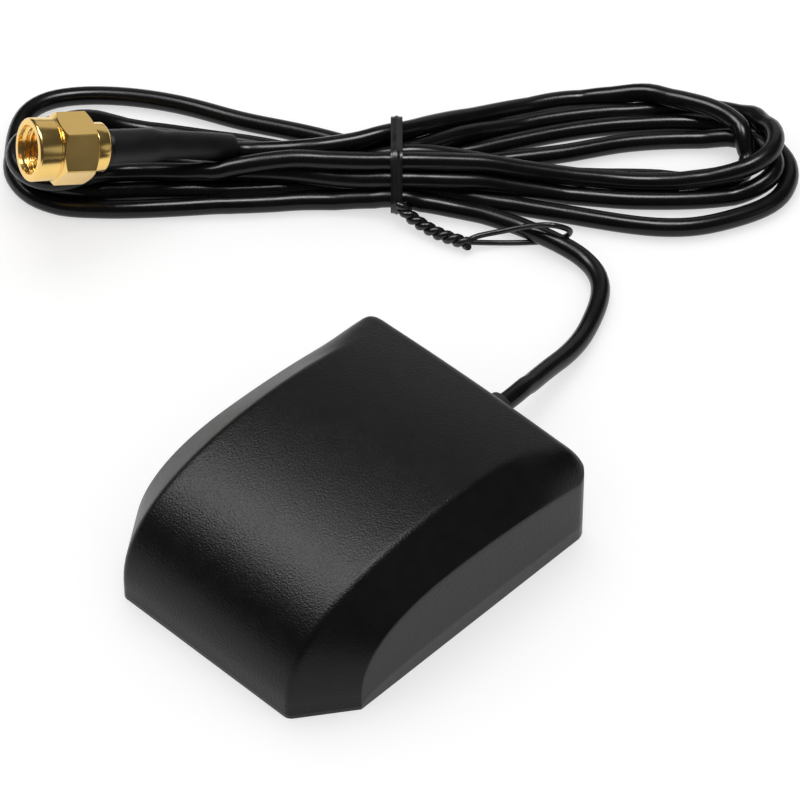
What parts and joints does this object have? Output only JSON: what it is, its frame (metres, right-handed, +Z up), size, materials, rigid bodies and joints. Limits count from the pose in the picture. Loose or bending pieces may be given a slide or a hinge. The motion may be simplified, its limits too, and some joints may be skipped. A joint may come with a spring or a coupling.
{
  "type": "gps antenna",
  "caption": "Small domed GPS puck antenna on a magnetic base, with a coaxial lead wound in a tied hank and a gold screw-on coaxial plug.",
  "frame": {"origin": "under the middle of the case, on the surface that the case and the hank lie on", "axes": "+X to the case's right seen from behind its nose, +Y from the nose to the back wall where the lead leaves, +Z up"},
  "size_m": [0.0971, 0.11, 0.0179],
  "materials": {
    "moulded_black": "fine-grained matte moulding",
    "base_black": "matte moulding",
    "black_rubber": "matte rubber",
    "bright_steel": "plated",
    "board_green": "green solder mask",
    "chip_black": "moulded package",
    "patch_ceramic": "fired ceramic",
    "fired_silver": "satin silver",
    "tinned_braid": "tinned copper braid",
    "cable_jacket": "smooth black jacket",
    "tie_black": "semi-gloss",
    "shrink_black": "satin heat-shrink",
    "gold_plate": "polished gold plating",
    "white_insulator": "white fluoropolymer",
    "seal_rubber": "red silicone"
  },
  "bodies": {
    "antenna": {"top_cover": "moulded_black", "base_plate": "base_black", "base_gasket": "black_rubber", "case_screw_1": "bright_steel", "case_screw_2": "bright_steel", "case_screw_3": "bright_steel", "case_screw_4": "bright_steel", "magnet_left": "bright_steel", "magnet_right": "bright_steel", "circuit_board": "board_green", "shield_can": "bright_steel", "band_filter": "chip_black", "amplifier_chip": "chip_black", "ceramic_patch": "patch_ceramic", "silver_face": "fired_silver", "feed_pin": "fired_silver", "strain_relief": "black_rubber", "lead_end": "tinned_braid", "cable_lead": "cable_jacket", "cable_hank": "cable_jacket", "cable_tail": "cable_jacket", "twist_tie": "tie_black", "heat_shrink": "shrink_black", "crimp_ferrule": "gold_plate", "plug_body": "gold_plate", "insulator": "white_insulator", "centre_contact": "gold_plate", "retaining_ring": "gold_plate", "sealing_washer": "seal_rubber"},
    "nut": {"coupling_nut": "gold_plate"}
  },
  "joints": [
    {"name": "coupling_nut_spin", "type": "hinge", "parent": "antenna", "child": "nut", "pos_m": [-0.06171, 0.02047, 0.01124], "axis": [-0.3794, -0.8767, 0.2957], "continuous": true}
  ]
}
